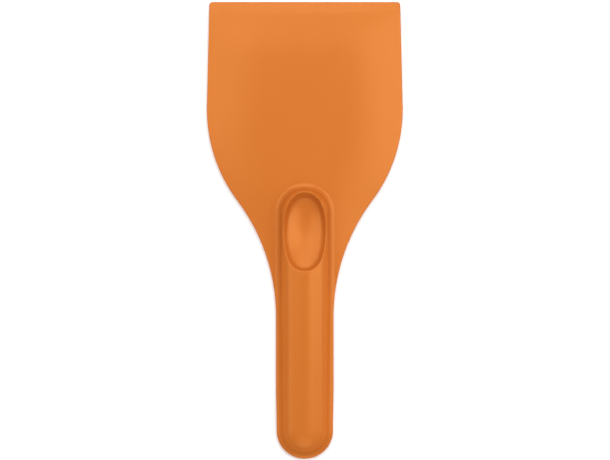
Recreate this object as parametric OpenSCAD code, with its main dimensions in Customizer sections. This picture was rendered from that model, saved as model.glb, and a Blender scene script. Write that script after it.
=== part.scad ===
// Hand-held ice scraper, moulded in one piece of plastic.
// A broad blade with a low crown ends in a bevelled scraping edge. Its flanks
// sweep into a slender handle, a hollow ridge with a sunken thumb rest on top.
// Frame, in mm: X across, +Y towards the scraping edge, +Z up. The whole rim
// lies on z = 0, and the origin is under the middle of the object's length.

/* [Overall] */
// Length from the scraping edge to the end of the handle
length = 224; // [210:1:270]
// Width of the blade at its widest
blade_w = 96; // [78:1:118]
// Width of the handle across its rim
handle_w = 28.2; // [26:0.1:34]
// Height of the handle's top above the rim, at the thumb rest
height = 14; // [13:0.5:18]

/* [Blade outline] */
// How far each side draws in from the widest point to the scraping edge
side_taper = 1.2; // [0:0.1:4]
// Length of the straight sides, back from the scraping edge
side_l = 51; // [40:1:60]
// Radius of the shoulders behind the straight sides
shoulder_r = 74.5; // [60:0.5:80]
// Radius of the neck, where the flanks run into the handle
neck_r = 95; // [80:0.5:105]
// Radius of the two front corners
corner_r = 1.5; // [0.5:0.1:4]

/* [Blade section] */
// Thickness of the blade
blade_t = 2.4; // [1.8:0.1:3.2]
// Rise of the crown above the rim of the blade
crown_h = 2.4; // [1:0.1:3.5]
// Distance from the rim to where the crown levels out
crown_band = 28; // [16:1:34]
// Length of the bevel behind the scraping edge
bevel_l = 5.2; // [4.5:0.1:9]
// Thickness left at the scraping edge
edge_t = 1; // [0.6:0.1:1.6]
// Width of the flat land under the blade's rim
land_w = 1; // [0.6:0.1:2]

/* [Handle section] */
// Width of the flange outside the foot of the ridge
flange_w = 1.5; // [0.8:0.1:2]
// Distance from the scraping edge to the front of the ridge
ridge_front = 90.8; // [84:0.1:100]
// Draft angle of the ridge's walls
ridge_draft = 14; // [10:0.5:18]
// Radius of the long shoulders between wall and top
ridge_round = 2.5; // [2.3:0.1:4]
// Radius of the arched top across the ridge
ridge_arch_r = 20; // [17:0.5:40]
// How much lower the ridge's top is at the end of the handle
tail_drop = 3; // [0.4:0.1:3.4]
// Thickness of the ridge's wall
ridge_t = 2.2; // [1.6:0.1:2.2]

/* [Thumb rest] */
// Distance from the front of the ridge to the widest part of the thumb rest
rest_back = 22.2; // [22:0.1:30]
// Half width of the thumb rest's rim
rim_w = 10.5; // [9.8:0.1:10.8]
// Length of the rim ahead of its widest part
rim_ahead = 19.6; // [18.5:0.1:19.9]
// Length of the rim behind its widest part
rim_behind = 19; // [18.2:0.1:24]
// Half width of the thumb rest's floor
floor_w = 8.5; // [7.4:0.1:8.8]
// Length of the floor ahead of its widest part
floor_ahead = 16.6; // [14:0.1:17]
// Length of the floor behind its widest part
floor_behind = 17.5; // [15:0.1:17.8]
// Squareness of the rim's egg, where 2 is an ellipse
rim_power = 2.2; // [2:0.1:2.6]
// Squareness of the floor's egg
floor_power = 2.5; // [2:0.1:2.8]
// Depth of the floor's lowest point below the handle's top
rest_depth = 8; // [5:0.1:8.4]
// Radius of the floor across the thumb rest
rest_cross_r = 26; // [18:1:40]
// How far ahead of the widest part the dished floor is lowest
dish_y = 5; // [0:0.5:8]
// Radius of the floor along the thumb rest
rest_long_r = 60; // [50:1:120]

/* [Hidden] */

// How far cutters run past the object
past = 1;
front_y = length / 2;
side_a = atan2(side_taper, side_l);

// Arc centres and joins of the right-hand outline
shoulder_c = [blade_w / 2 - shoulder_r, front_y - side_l - shoulder_r * sin(side_a)];
side_pt = shoulder_c + shoulder_r * [cos(side_a), sin(side_a)];
edge_x = side_pt.x - side_l * tan(side_a);
corner_c = [edge_x - corner_r * (1 - sin(side_a)) / cos(side_a), front_y - corner_r];
flank_a = acos((handle_w / 2 + neck_r - shoulder_c.x) / (shoulder_r + neck_r));
neck_c = shoulder_c + (shoulder_r + neck_r) * [cos(flank_a), -sin(flank_a)];
flank_y = shoulder_c.y - shoulder_r * sin(flank_a);
end_c = [0, handle_w / 2 - front_y];

// Thumb rest: the widest part, the floor's height, and the eggs of rim and
// floor, each [half width, length ahead, length behind]
rest_y = front_y - ridge_front - rest_back;
rest_z = height - rest_depth;
rest_rim = [rim_w, rim_ahead, rim_behind];
rest_floor = [floor_w, floor_ahead, floor_behind];

// Numbers of steps along the arcs
corner_steps = 4;
flank_steps = 12;
tail_steps = 44;
round_steps = 8;
arch_steps = 6;
egg_steps = 40;

// Ridge: foot half-width, front end centre, length between end centres, and
// its tilt about the highest point, which is right behind the thumb rest
foot_r = handle_w / 2 - flange_w;
ridge_y = front_y - ridge_front - foot_r;
ridge_l = ridge_y - end_c.y;
crest_y = rest_y - rest_rim.z;
tilt_a = asin(tail_drop / (crest_y - end_c.y));

function arc(c, r, a0, a1, n) = [for (i = [0:n]) let (a = a0 + (a1 - a0) * i / n)
    c + r * [cos(a), sin(a)]];

// Half-width of the blade's outline at y, and how far it leans from straight
function half_w(y) =
    y > corner_c.y + corner_r * sin(side_a)
        ? corner_c.x + sqrt(max(0, pow(corner_r, 2) - pow(y - corner_c.y, 2)))
    : y > side_pt.y ? edge_x + (front_y - y) * tan(side_a)
    : y > flank_y ? shoulder_c.x + sqrt(pow(shoulder_r, 2) - pow(y - shoulder_c.y, 2))
    : y > neck_c.y ? neck_c.x - sqrt(pow(neck_r, 2) - pow(y - neck_c.y, 2))
    : handle_w / 2;
function lean(y) =
    y > side_pt.y ? 0
    : y > flank_y ? asin((shoulder_c.y - y) / shoulder_r)
    : y > neck_c.y ? asin((y - neck_c.y) / neck_r)
    : 0;

// Crown above the rim: it rises from the sides and the front, and fades
// out along the neck, so that the handle's flange is level
function rise(d) = d >= crown_band ? 1 : 1 - pow(1 - max(0, d) / crown_band, 2);
function smooth(t) = let (u = min(1, max(0, t))) u * u * (3 - 2 * u);
function crown(x, y) = crown_h
    * rise((half_w(y) - abs(x)) * cos(lean(y)))
    * rise(front_y - y)
    * smooth((y - neck_c.y) / (flank_y - neck_c.y));

function top_z(x, y) = let (d = front_y - y)
    d >= bevel_l ? blade_t + crown(x, y)
    : edge_t + (blade_t + crown(x, front_y - bevel_l) - edge_t) * d / bevel_l;
land_rise = crown_h * rise(land_w);
function under_z(x, y) = max(0, crown(x, y) - land_rise);

// Blade as a thin crowned sheet, from the scraping edge to the handle
module blade() {
    overlap = 3;
    band_steps = 7;
    side_steps = 3;
    band_y = front_y - crown_band;
    corner_ys = [for (p = arc(corner_c, corner_r, 90, side_a, corner_steps)) p.y];
    rows = concat(
        corner_ys,
        [front_y - bevel_l],
        [for (i = [1:band_steps])
            front_y - bevel_l - (crown_band - bevel_l) * i / band_steps],
        [for (i = [1:side_steps]) band_y + (side_pt.y - band_y) * i / side_steps],
        [for (p = arc(shoulder_c, shoulder_r, 0, -flank_a, flank_steps)) p.y],
        [for (p = arc(neck_c, neck_r, 180 - flank_a, 180, flank_steps)) p.y],
        [neck_c.y - overlap]
    );
    // the arcs repeat the row where they join
    ys = [for (i = [0 : len(rows) - 1]) if (i == 0 || rows[i - 1] - rows[i] > 0.01) rows[i]];
    // points across: evenly spaced up to the land, then the outline itself
    half = 9;
    function across(y) = let (w = half_w(y), inner = w - land_w)
        concat([-w], [for (i = [-half:half]) inner * i / half], [w]);
    n = 2 * half + 3;
    last = len(ys) - 1;
    tops = [for (y = ys, x = across(y)) [x, y, top_z(x, y)]];
    unders = [for (y = ys, x = across(y)) [x, y, under_z(x, y)]];
    m = len(tops);
    function quad(a, b, c, d) = [[a, b, c], [a, c, d]];
    cells = [for (r = [0 : last - 1], c = [0 : n - 2]) r * n + c];
    polyhedron(concat(tops, unders), concat(
        [for (k = cells) each quad(k, k + 1, k + n + 1, k + n)],
        [for (k = cells) each quad(m + k, m + k + n, m + k + n + 1, m + k + 1)],
        [for (c = [0 : n - 2]) each quad(c + 1, c, m + c, m + c + 1)],
        [for (c = [0 : n - 2]) let (k = last * n + c)
            each quad(k, k + 1, m + k + 1, m + k)],
        [for (r = [0 : last - 1]) let (k = r * n)
            each quad(k, k + n, m + k + n, m + k)],
        [for (r = [0 : last - 1]) let (k = r * n + n - 1)
            each quad(k + n, k, m + k, m + k + n)]
    ));
}

// Flat flange round the handle, with its round end
module flange() {
    linear_extrude(blade_t) polygon(concat(
        [[handle_w / 2, neck_c.y], [-handle_w / 2, neck_c.y]],
        arc(end_c, handle_w / 2, 180, 360, tail_steps)
    ));
}

// Centres of the ridge's arched top and of its rounded shoulder, which is
// the same for every inset
arch_c = [0, height - ridge_arch_r];
wall_out = [cos(ridge_draft), sin(ridge_draft)];
wall_d = foot_r * wall_out.x + (blade_t - arch_c.y) * wall_out.y;
shoulder_out = wall_d - ridge_round;
shoulder_up = sqrt(pow(ridge_arch_r - ridge_round, 2) - pow(shoulder_out, 2));
round_c = arch_c + shoulder_out * wall_out + shoulder_up * [-wall_out.y, wall_out.x];
arch_a = atan2(round_c.y - arch_c.y, round_c.x);

// Height of the ridge's top at r from its middle
function ridge_z(r) = r < ridge_arch_r * cos(arch_a)
    ? arch_c.y + sqrt(pow(ridge_arch_r, 2) - pow(r, 2))
    : round_c.y + sqrt(max(0, pow(ridge_round, 2) - pow(r - round_c.x, 2)));

// Right half of the ridge's section, drawn inwards by inset
function ridge_section(inset) =
    let (
        arch = ridge_arch_r - inset,
        shoulder = round_c,
        rnd = ridge_round - inset,
        out = wall_out,
        k = arch_c,
        wall_top = shoulder + rnd * out,
        base_z = -3 * past,
        base_x = wall_top.x + (wall_top.y - base_z) * tan(ridge_draft)
    )
    concat(
        [[0, base_z], [base_x, base_z]],
        arc(shoulder, rnd, ridge_draft, arch_a, round_steps),
        [for (i = [1:arch_steps]) let (a = arch_a + (90 - arch_a) * i / arch_steps)
            i == arch_steps ? [0, height - inset] : k + arch * [cos(a), sin(a)]]
    );

// Ridge with round ends, tilted down towards the end of the handle
module ridge(inset = 0) {
    right = ridge_section(inset);
    left = [for (i = [len(right) - 2 : -1 : 1]) [-right[i].x, right[i].y]];
    translate([0, crest_y, 0]) rotate([tilt_a, 0, 0]) translate([0, ridge_y - crest_y, 0]) {
        rotate_extrude(angle = 180, $fn = 90) polygon(right);
        rotate([90, 0, 0]) linear_extrude(ridge_l) polygon(concat(right, left));
        translate([0, -ridge_l, 0]) rotate(180) rotate_extrude(angle = 180, $fn = 90)
            polygon(right);
    }
}

// Point at angle a of an egg given as [half width, length ahead, length behind]
function egg(size, a, power) = let (l = sin(a) > 0 ? size.y : size.z)
    [cos(a), sin(a)] * pow(pow(abs(cos(a) / size.x), power)
        + pow(abs(sin(a) / l), power), -1 / power);
function rest_dish(p) = rest_z + pow(p.x, 2) / (2 * rest_cross_r)
    + pow(p.y - dish_y, 2) / (2 * rest_long_r);

// Thumb rest: a dished floor inside walls that lean out to the rim
module thumb_well(grow = 0) {
    steps = egg_steps;
    shares = [0.35, 0.7, 1];
    rim = rest_rim + grow * [1, 1, 1];
    floor_egg = rest_floor + grow * [1, 1, 1];
    lift = height + 2 * past;
    function ring_z(p) = rest_dish(p) - grow;
    // the rim's egg lies where the walls meet the handle's top
    walls = [for (i = [0 : steps - 1]) let (a = 360 * i / steps, p = egg(rim, a, rim_power),
        q = egg(floor_egg, a, floor_power), r = norm([p.x, max(0, p.y + rest_y - ridge_y)]),
        k = (lift - ring_z(q)) / (ridge_z(min(r, round_c.x + ridge_round)) - ring_z(q)))
        [q.x + (p.x - q.x) * k, q.y + (p.y - q.y) * k, lift]];
    floors = [for (s = [2 : -1 : 0], i = [0 : steps - 1])
        let (p = egg(floor_egg * shares[s], 360 * i / steps, floor_power)) [p.x, p.y, ring_z(p)]];
    points = concat(walls, floors, [[0, 0, lift], [0, 0, ring_z([0, 0])]]);
    rings = len(shares);
    crest = (rings + 1) * steps;
    translate([0, rest_y, 0]) polyhedron(points, concat(
        [for (i = [0 : steps - 1]) [crest, (i + 1) % steps, i]],
        [for (r = [0 : rings - 1], i = [0 : steps - 1])
            let (a = r * steps + i, b = r * steps + (i + 1) % steps)
                each [[a, b, b + steps], [a, b + steps, a + steps]]],
        [for (i = [0 : steps - 1])
            [crest + 1, rings * steps + i, rings * steps + (i + 1) % steps]]
    ));
}

module scraper_body() {
    color([0.85, 0.48, 0.2]) difference() {
        union() {
            blade();
            flange();
            intersection() {
                ridge();
                translate([-blade_w / 2, -front_y, 0]) cube([blade_w, length, height + past]);
            }
        }
        thumb_well();
        difference() {
            ridge(ridge_t);
            thumb_well(ridge_t);
        }
    }
}

scraper_body();
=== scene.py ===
"""One-piece plastic ice scraper: its moulded skin, satin orange plastic, floor, lights and camera.

The skin is found as the zero surface of one signed function of (x, y, z) in millimetres,
whose parts meet in the fillets and rounded edges of an injection moulding.
"""

import math

import bpy
import numpy as np
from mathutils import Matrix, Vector


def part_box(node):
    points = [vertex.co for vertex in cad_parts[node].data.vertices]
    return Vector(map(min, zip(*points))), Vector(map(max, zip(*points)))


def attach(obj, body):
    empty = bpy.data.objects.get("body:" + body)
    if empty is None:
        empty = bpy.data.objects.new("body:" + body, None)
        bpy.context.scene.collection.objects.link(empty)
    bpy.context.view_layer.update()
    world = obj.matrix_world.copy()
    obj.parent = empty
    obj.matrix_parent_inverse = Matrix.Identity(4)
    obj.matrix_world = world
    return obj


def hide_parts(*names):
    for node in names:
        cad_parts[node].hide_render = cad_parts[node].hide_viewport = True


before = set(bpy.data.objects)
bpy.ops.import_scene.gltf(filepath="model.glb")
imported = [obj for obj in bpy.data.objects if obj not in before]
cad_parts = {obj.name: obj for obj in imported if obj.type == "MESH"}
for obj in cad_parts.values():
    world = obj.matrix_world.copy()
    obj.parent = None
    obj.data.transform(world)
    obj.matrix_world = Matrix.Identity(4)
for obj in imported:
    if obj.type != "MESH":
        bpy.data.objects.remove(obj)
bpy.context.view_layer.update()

MM = 0.001
NODE = "scraper_body"
LOW, HIGH = [np.array(corner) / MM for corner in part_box(NODE)]

# Overall sizes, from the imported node
LENGTH = HIGH[1] - LOW[1]
BLADE_W = HIGH[0] - LOW[0]
HEIGHT = HIGH[2] - LOW[2]
FRONT_Y = HIGH[1]

# Outline
HANDLE_W = 28.2
SIDE_TAPER = 1.2
SIDE_L = 51.0
SHOULDER_R = 74.5
NECK_R = 95.0
CORNER_R = 1.5
TAIL_R = 13.8          # the handle narrows a little into its round end
TAIL_TAPER_L = 24.0

# Blade section
BLADE_T = 2.4
CROWN_H = 2.4
CROWN_BAND = 28.0
BEVEL_L = 5.2
EDGE_T = 1.0
LAND_W = 1.0
RIM_ROUND = 0.3
EDGE_ROUND = 0.2

# Handle section
FOOT_R = 12.5
FOOT_FILLET = 2.2
RIDGE_FRONT = 90.8
FRONT_DRAFT = math.radians(13)
TAIL_DRAFT = math.radians(15)
RIDGE_ROUND = 2.5
RIDGE_ARCH_R = 20.0
TAIL_DROP = 3.0
RIDGE_T = 2.2
DRAFT_L = 50.0          # the draft changes over this length behind the thumb rest's middle

# Thumb rest: half width, length ahead and length behind of its two eggs
REST_BACK = 22.2
REST_RIM = np.array([10.5, 19.6, 19.0])
REST_FLOOR = np.array([8.5, 16.6, 17.5])
RIM_POWER = 2.2
FLOOR_POWER = 2.5
REST_DEPTH = 8.0
DISH_Y = 5.0            # the dish is deepest this far ahead of the rest's middle
REST_CROSS_R = 26.0
REST_LONG_R = 60.0
REST_RIM_ROUND = 0.5
REST_FLOOR_ROUND = 0.8

# Joins of the outline's arcs
SIDE_A = math.atan2(SIDE_TAPER, SIDE_L)
SHOULDER_X = BLADE_W / 2 - SHOULDER_R
SHOULDER_Y = FRONT_Y - SIDE_L - SHOULDER_R * math.sin(SIDE_A)
SIDE_X = SHOULDER_X + SHOULDER_R * math.cos(SIDE_A)
SIDE_Y = FRONT_Y - SIDE_L
EDGE_X = SIDE_X - SIDE_L * math.tan(SIDE_A)
FLANK_A = math.acos((HANDLE_W / 2 + NECK_R - SHOULDER_X) / (SHOULDER_R + NECK_R))
FLANK_Y = SHOULDER_Y - SHOULDER_R * math.sin(FLANK_A)
NECK_X = HANDLE_W / 2 + NECK_R
NECK_Y = SHOULDER_Y - (SHOULDER_R + NECK_R) * math.sin(FLANK_A)
END_Y = -FRONT_Y + TAIL_R

# Places along the handle
REST_Y = FRONT_Y - RIDGE_FRONT - REST_BACK
REST_Z = HEIGHT - REST_DEPTH
RIDGE_Y = FRONT_Y - RIDGE_FRONT - FOOT_R
RIDGE_END_Y = -FRONT_Y + HANDLE_W / 2
CREST_Y = REST_Y - REST_RIM[2]
TILT = math.asin(TAIL_DROP / (CREST_Y - RIDGE_END_Y))

# Mesh
GRID_STEP = 0.45

# Stage, in metres
FLOOR_HALF = 3.0
FLOOR_GAP = 0.0002
CAMERA_HEIGHT = 1.2
CAMERA_OFFSET = 0.0001
VIEW_WIDTH = 0.2996
SENSOR_MM = 36
SURROUND_STRENGTH = 0.44
SURROUND_BELOW = (2.4, 0.80, 0.06, 1)
SURROUND_ABOVE = (1, 1, 1, 1)


# ---- shape -----------------------------------------------------------------

def smooth(t):
    t = np.clip(t, 0, 1)
    return t * t * (3 - 2 * t)


def both(a, b, r):
    """Inside both a and b, with an outer edge rounded to r."""
    near = (a > -r) & (b > -r)
    return np.where(near, np.hypot(a + r, b + r) - r, np.maximum(a, b))


def either(a, b, r):
    """Inside a or b, with an inner corner filled to r."""
    near = (a < r) & (b < r)
    return np.where(near, r - np.hypot(r - a, r - b), np.minimum(a, b))


def half_width(y):
    """Half-width of the outline, and the cosine of its lean from straight."""
    shoulder = np.sqrt(np.maximum(SHOULDER_R**2 - (y - SHOULDER_Y) ** 2, 1))
    neck = np.sqrt(np.maximum(NECK_R**2 - (y - NECK_Y) ** 2, 1))
    tail = smooth((END_Y + TAIL_TAPER_L - y) / TAIL_TAPER_L)
    straight = HANDLE_W / 2 - (HANDLE_W / 2 - TAIL_R) * tail
    zones = [y > SIDE_Y, y > FLANK_Y, y > NECK_Y]
    width = np.select(zones, [EDGE_X + (FRONT_Y - y) * math.tan(SIDE_A),
                              SHOULDER_X + shoulder, NECK_X - neck], straight)
    cosine = np.select(zones, [np.ones_like(y), shoulder / SHOULDER_R, neck / NECK_R], 1.0)
    return width, cosine


def inset(x, y):
    """Distances in from the sides and from the scraping edge."""
    width, cosine = half_width(y)
    side = (width - np.abs(x)) * cosine
    tail = TAIL_R - np.hypot(x, y - END_Y)
    return np.where(y < END_Y, tail, side), FRONT_Y - y


def rise(d):
    return 1 - (1 - np.clip(d / CROWN_BAND, 0, 1)) ** 2


def crown(side, front, y):
    fade = smooth((y - NECK_Y) / (FLANK_Y - NECK_Y))
    return CROWN_H * rise(side) * rise(front) * fade


def ridge(x, y, z):
    """Distances to the ridge's drafted wall and to its arched top."""
    ys = y - CREST_Y
    yt = ys * math.cos(TILT) + z * math.sin(TILT) + CREST_Y
    zt = z * math.cos(TILT) - ys * math.sin(TILT)
    along = np.clip(yt, RIDGE_END_Y, RIDGE_Y)
    r = np.hypot(x, yt - along)
    draft = FRONT_DRAFT + (TAIL_DRAFT - FRONT_DRAFT) * smooth((REST_Y - along) / DRAFT_L)
    wall = (r - FOOT_R) * np.cos(draft) + (zt - BLADE_T) * np.sin(draft)
    arch = np.hypot(r, zt - HEIGHT + RIDGE_ARCH_R) - RIDGE_ARCH_R
    return wall, arch


def ridge_height(r):
    """Height of the ridge's section at r from its middle, on the arch or the shoulder."""
    c, s = math.cos(FRONT_DRAFT), math.sin(FRONT_DRAFT)
    arch_z = HEIGHT - RIDGE_ARCH_R
    out = FOOT_R * c + (BLADE_T - arch_z) * s - RIDGE_ROUND
    up = math.sqrt((RIDGE_ARCH_R - RIDGE_ROUND) ** 2 - out**2)
    shoulder_r, shoulder_z = out * c - up * s, arch_z + out * s + up * c
    arch = arch_z + np.sqrt(np.maximum(RIDGE_ARCH_R**2 - r**2, 0))
    shoulder = shoulder_z + np.sqrt(np.maximum(RIDGE_ROUND**2 - (r - shoulder_r) ** 2, 0))
    join = shoulder_r * RIDGE_ARCH_R / (RIDGE_ARCH_R - RIDGE_ROUND)
    return np.where(r < join, arch, shoulder)


def thumb_well(x, y, z, grow=0.0):
    """Negative inside the well of the thumb rest."""
    v = y - REST_Y
    d = np.maximum(np.hypot(x, v), 1e-6)
    cos, sin = x / d, v / d

    def egg(size, power):
        size = size + grow
        length = np.where(v > 0, size[1], size[2])
        return (np.abs(cos / size[0]) ** power + np.abs(sin / length) ** power) ** (-1 / power)

    def dish(u, w):
        return REST_Z - grow + u**2 / (2 * REST_CROSS_R) + (w - DISH_Y) ** 2 / (2 * REST_LONG_R)

    rim, floor = egg(REST_RIM, RIM_POWER), egg(REST_FLOOR, FLOOR_POWER)
    top = ridge_height(np.hypot(rim * cos, np.maximum(rim * sin + REST_Y - RIDGE_Y, 0)))
    low = dish(floor * cos, floor * sin)
    slope = (rim - floor) / np.maximum(top - low, 1)
    wall = (d - floor - slope * (z - low)) / np.sqrt(1 + slope**2)
    return both(wall, dish(x, v) - z, REST_FLOOR_ROUND)


def skin(x, y, z):
    """Negative inside the plastic."""
    side, front = inset(x, y)
    lift = crown(side, front, y)
    at_bevel = crown(side, BEVEL_L, y)
    bevel = EDGE_T + (BLADE_T + at_bevel - EDGE_T) * front / BEVEL_L
    top = np.where(front < BEVEL_L, bevel, BLADE_T + lift)
    under = np.maximum(0, lift - CROWN_H * rise(LAND_W))
    wall, arch = ridge(x, y, z)
    outer = either(z - top, both(wall, arch, RIDGE_ROUND), FOOT_FILLET)
    outer = both(outer, -thumb_well(x, y, z), REST_RIM_ROUND)
    cavity = both(wall + RIDGE_T, arch + RIDGE_T, RIM_ROUND)
    cavity = both(cavity, -thumb_well(x, y, z, RIDGE_T), RIM_ROUND)
    hollow = either(z - under, cavity, RIM_ROUND)
    solid = both(outer, -hollow, EDGE_ROUND)
    plan = both(-side, -front, CORNER_R)
    rim = EDGE_ROUND + (RIM_ROUND - EDGE_ROUND) * smooth((front - BEVEL_L) / BEVEL_L)
    return both(solid, plan, rim)


# ---- mesh ------------------------------------------------------------------

def surface_net(field, low, high, step):
    """One point in each grid cell that the surface crosses, joined in quads."""
    axes = [np.arange(a, b + step, step) for a, b in zip(low, high)]
    values = np.stack([
        field(*np.meshgrid([x], axes[1], axes[2], indexing="ij"))[0] for x in axes[0]
    ])
    inside = values < 0
    cells = tuple(n - 1 for n in values.shape)

    def corner(array, offset):
        return array[tuple(slice(o, o + n) for o, n in zip(offset, cells))]

    offsets = [(i, j, k) for i in (0, 1) for j in (0, 1) for k in (0, 1)]
    count = sum(corner(inside, o).astype(np.int8) for o in offsets)
    active = (count > 0) & (count < 8)
    index = np.full(cells, -1, np.int64)
    index[active] = np.arange(active.sum())
    where = np.argwhere(active)

    total = np.zeros((len(where), 3))
    hits = np.zeros(len(where))
    for a in offsets:
        for axis in range(3):
            if a[axis]:
                continue
            b = tuple(o + (n == axis) for n, o in enumerate(a))
            va, vb = corner(values, a)[active], corner(values, b)[active]
            cross = (va < 0) != (vb < 0)
            t = np.where(cross, va / np.where(cross, va - vb, 1), 0)
            point = np.array(a, float) + t[:, None] * np.eye(3)[axis]
            total += np.where(cross[:, None], point, 0)
            hits += cross
    points = np.array([ax[0] for ax in axes]) + (where + total / hits[:, None]) * step

    quads = []
    for axis in range(3):
        u, w = [n for n in range(3) if n != axis]
        first = np.moveaxis(inside, (axis, u, w), (0, 1, 2))
        ids = np.moveaxis(index, (axis, u, w), (0, 1, 2))
        now, then = first[:-1, 1:-1, 1:-1], first[1:, 1:-1, 1:-1]
        ring = np.stack([ids[:, :-1, :-1], ids[:, 1:, :-1], ids[:, 1:, 1:], ids[:, :-1, 1:]], -1)
        flip = axis == 1
        out, back = now & ~then, ~now & then
        quads.append(ring[out][:, ::-1] if flip else ring[out])
        quads.append(ring[back] if flip else ring[back][:, ::-1])
    return points, np.concatenate(quads)


def gradient(field, points, h=0.01):
    x, y, z = points.T
    return np.stack([
        field(x + h, y, z) - field(x - h, y, z),
        field(x, y + h, z) - field(x, y - h, z),
        field(x, y, z + h) - field(x, y, z - h),
    ], -1) / (2 * h)


def settle(field, points, rounds=4, limit=0.2):
    """Moves the points onto the surface itself."""
    for _ in range(rounds):
        slope = gradient(field, points)
        size = np.maximum((slope**2).sum(1), 0.05)
        move = -(field(*points.T) / size)[:, None] * slope
        points = points + np.clip(move, -limit, limit)
    return points


def build_scraper(material):
    step = GRID_STEP
    margin = 2 * step
    points, quads = surface_net(skin, LOW - margin, HIGH + margin, step)
    points = settle(skin, points)
    normals = gradient(skin, points)
    normals /= np.linalg.norm(normals, axis=1)[:, None]
    mesh = bpy.data.meshes.new("moulded_skin")
    mesh.from_pydata((points * MM).tolist(), [], quads.tolist())
    mesh.polygons.foreach_set("use_smooth", np.ones(len(mesh.polygons), bool))
    mesh.normals_split_custom_set_from_vertices(normals.tolist())
    mesh.materials.append(material)
    piece = bpy.data.objects.new("moulded_skin", mesh)
    bpy.context.scene.collection.objects.link(piece)
    return piece


# ---- materials -------------------------------------------------------------

def new_material(name):
    material = bpy.data.materials.new(name)
    material.use_nodes = True
    nodes, links = material.node_tree.nodes, material.node_tree.links
    return material, nodes, links, nodes["Principled BSDF"]


def noise(nodes, links, coords, scale, detail, stretch=(1, 1, 1)):
    mapping = nodes.new("ShaderNodeMapping")
    mapping.inputs["Scale"].default_value = stretch
    links.new(coords, mapping.inputs["Vector"])
    node = nodes.new("ShaderNodeTexNoise")
    node.inputs["Scale"].default_value = scale
    node.inputs["Detail"].default_value = detail
    links.new(mapping.outputs["Vector"], node.inputs["Vector"])
    return node.outputs["Fac"]


def remap(nodes, links, value, low, high):
    """0 at low, 1 at high."""
    node = nodes.new("ShaderNodeMapRange")
    node.inputs["From Min"].default_value = low
    node.inputs["From Max"].default_value = high
    links.new(value, node.inputs["Value"])
    return node.outputs["Result"]


def satin_plastic():
    """Orange, mottled very slightly, with a fine moulded grain and an orange reflection."""
    material, nodes, links, shader = new_material("orange_satin_plastic")
    coords = nodes.new("ShaderNodeTexCoord").outputs["Object"]
    colour = nodes.new("ShaderNodeMix")
    colour.data_type = "RGBA"
    colour.inputs["A"].default_value = (0.497, 0.129, 0.0162, 1)
    colour.inputs["B"].default_value = (0.513, 0.136, 0.0185, 1)
    clouds = noise(nodes, links, coords, 60, 5, (1, 0.5, 1))
    links.new(remap(nodes, links, clouds, 0.2, 0.8), colour.inputs["Factor"])
    links.new(colour.outputs["Result"], shader.inputs["Base Color"])
    shader.inputs["Roughness"].default_value = 0.27
    shader.inputs["IOR"].default_value = 1.68
    shader.inputs["Specular Tint"].default_value = (1.0, 0.50, 0.20, 1)
    grain = nodes.new("ShaderNodeBump")
    grain.inputs["Strength"].default_value = 0.35
    grain.inputs["Distance"].default_value = 0.00006
    links.new(noise(nodes, links, coords, 1300, 3), grain.inputs["Height"])
    links.new(grain.outputs["Normal"], shader.inputs["Normal"])
    return material


def floor_material():
    material, _, _, shader = new_material("pale_floor")
    shader.inputs["Base Color"].default_value = (0.96, 0.96, 0.96, 1)
    shader.inputs["Roughness"].default_value = 0.9
    return material


# ---- stage -----------------------------------------------------------------

def build_floor():
    """A white floor that the plastic does not reflect."""
    mesh = bpy.data.meshes.new("floor")
    corners = [(u * FLOOR_HALF, v * FLOOR_HALF, 0) for u, v in ((-1, -1), (1, -1), (1, 1), (-1, 1))]
    mesh.from_pydata(corners, [], [(0, 1, 2, 3)])
    mesh.materials.append(floor_material())
    floor = bpy.data.objects.new("floor", mesh)
    floor.location.z = LOW[2] * MM - FLOOR_GAP
    floor.visible_glossy = False
    bpy.context.scene.collection.objects.link(floor)


def area_light(name, azimuth, elevation, distance, size, power):
    """A square softbox aimed at the middle of the scene."""
    azimuth, elevation = math.radians(azimuth), math.radians(elevation)
    light = bpy.data.lights.new(name, "AREA")
    light.shape = "SQUARE"
    light.size = size
    light.energy = power
    lamp = bpy.data.objects.new(name, light)
    lamp.location = Vector((
        distance * math.cos(elevation) * math.cos(azimuth),
        distance * math.cos(elevation) * math.sin(azimuth),
        distance * math.sin(elevation),
    ))
    lamp.rotation_euler = (-lamp.location).to_track_quat("-Z", "Y").to_euler()
    bpy.context.scene.collection.objects.link(lamp)


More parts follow.
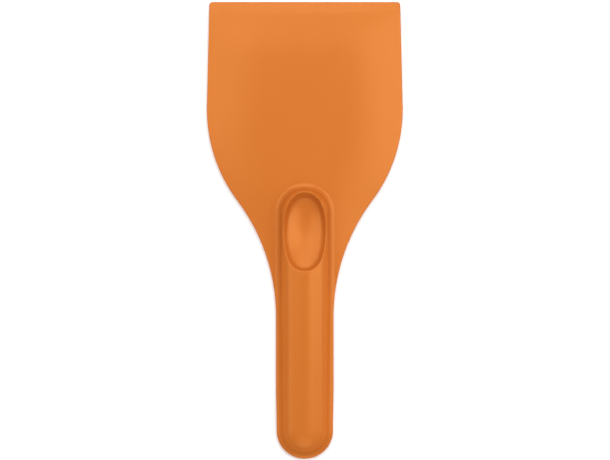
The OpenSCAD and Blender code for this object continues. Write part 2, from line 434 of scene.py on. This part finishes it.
def build_surroundings():
    """White above the horizon and orange below, for the plastic to reflect in its steep walls.

    The change is spread a little to both sides, so a camera within a few degrees of the
    floor sees an orange band at the horizon.
    """
    world = bpy.data.worlds.new("studio")
    world.use_nodes = True
    nodes, links = world.node_tree.nodes, world.node_tree.links
    background = nodes["Background"]
    background.inputs["Strength"].default_value = SURROUND_STRENGTH
    direction = nodes.new("ShaderNodeSeparateXYZ")
    links.new(nodes.new("ShaderNodeTexCoord").outputs["Generated"], direction.inputs["Vector"])
    above = remap(nodes, links, direction.outputs["Z"], -0.05, 0.05)
    surround = nodes.new("ShaderNodeMix")
    surround.data_type = "RGBA"
    surround.inputs["A"].default_value = SURROUND_BELOW
    surround.inputs["B"].default_value = SURROUND_ABOVE
    links.new(above, surround.inputs["Factor"])
    links.new(surround.outputs["Result"], background.inputs["Color"])
    bpy.context.scene.world = world


def build_lights():
    """Soft light from all round, strongest from low on the right."""
    area_light("right_high", 14, 62, 0.85, 0.52, 2.4)
    area_light("right_low", 5, 30, 1.25, 0.70, 3.3)
    area_light("front_high", 90, 61, 1.0, 0.60, 1.1)
    area_light("front_middle", 90, 45, 1.25, 0.70, 2.5)
    area_light("front_low", 90, 25, 1.25, 0.70, 1.6)
    area_light("left_high", 150, 62, 1.0, 0.60, 2.2)
    area_light("left_middle", 180, 40, 1.25, 0.70, 2.0)
    area_light("back_fill", 270, 45, 1.25, 0.80, 2.1)
    bpy.context.scene.view_settings.view_transform = "Standard"


def build_camera():
    """Straight above the middle of the object, looking down."""
    camera_data = bpy.data.cameras.new("camera")
    camera_data.sensor_width = SENSOR_MM
    camera_data.lens = SENSOR_MM * CAMERA_HEIGHT / VIEW_WIDTH
    camera = bpy.data.objects.new("camera", camera_data)
    camera.location = (CAMERA_OFFSET, CAMERA_OFFSET, CAMERA_HEIGHT)
    bpy.context.scene.collection.objects.link(camera)
    bpy.context.scene.camera = camera


build_camera()
build_surroundings()
build_lights()
build_floor()

scraper = build_scraper(satin_plastic())
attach(scraper, "root")
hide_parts(NODE)
